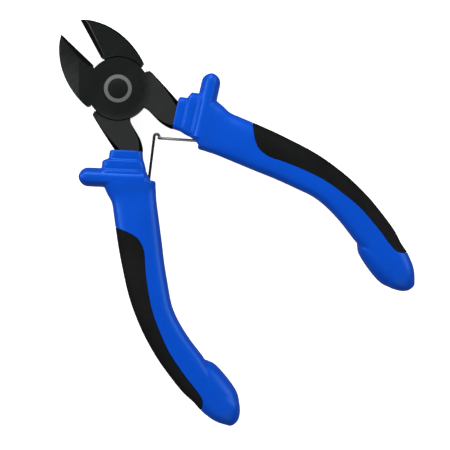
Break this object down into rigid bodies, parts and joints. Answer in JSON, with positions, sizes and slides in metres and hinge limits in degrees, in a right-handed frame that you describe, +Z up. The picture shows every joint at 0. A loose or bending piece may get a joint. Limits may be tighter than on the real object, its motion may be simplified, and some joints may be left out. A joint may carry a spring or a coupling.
{
  "type": "flush cut pliers",
  "caption": "Spring-loaded flush cut pliers with a riveted lap joint, curved jaws and two-colour moulded grips with thumb guards, lying flat and open.",
  "frame": {"origin": "centre of the low rear head of the pivot rivet, in the plane that the tool rests on", "axes": "+Y along the tool from the pivot towards the jaws, +X to the right, +Z up through the thickness, away from the face that rests"},
  "size_m": [0.0804, 0.1242, 0.0114],
  "materials": {
    "blackened_steel": "black oxide, satin",
    "rivet_steel": "black oxide, satin",
    "spring_wire": "drawn wire, dark",
    "blue_plastic": "moulded, satin",
    "black_soft_plastic": "moulded soft grip, matte"
  },
  "bodies": {
    "rear_half": {"rear_lever": "blackened_steel", "pivot_rivet": "rivet_steel", "left_grip_sleeve": "blue_plastic", "left_soft_insert": "black_soft_plastic"},
    "front_half": {"front_lever": "blackened_steel", "right_grip_sleeve": "blue_plastic", "right_soft_insert": "black_soft_plastic"},
    "spring_left": {"spring_half_left": "spring_wire"},
    "spring_right": {"spring_half_right": "spring_wire"}
  },
  "joints": [
    {"name": "jaw_pivot", "type": "hinge", "parent": "rear_half", "child": "front_half", "pos_m": [0, 0, 0.0057], "axis": [0, 0, -1], "range_deg": [-12, 17.2], "stiffness_Nm_per_rad": 1},
    {"name": "spring_left_swing", "type": "hinge", "parent": "rear_half", "child": "spring_left", "pos_m": [-0.00855, -0.0264, 0.0052], "axis": [0, 0, 1], "range_deg": [-12.5, 17.6]},
    {"name": "spring_coil_flex", "type": "hinge", "parent": "spring_left", "child": "spring_right", "pos_m": [0.00045, -0.0183, 0.0057], "axis": [0, 0, -1], "range_deg": [-38.5, 54.5]}
  ],
  "couplings": [
    {"joint": "spring_left_swing", "follows": "jaw_pivot", "ratio": 0.99},
    {"joint": "spring_coil_flex", "follows": "jaw_pivot", "ratio": 3.13}
  ]
}
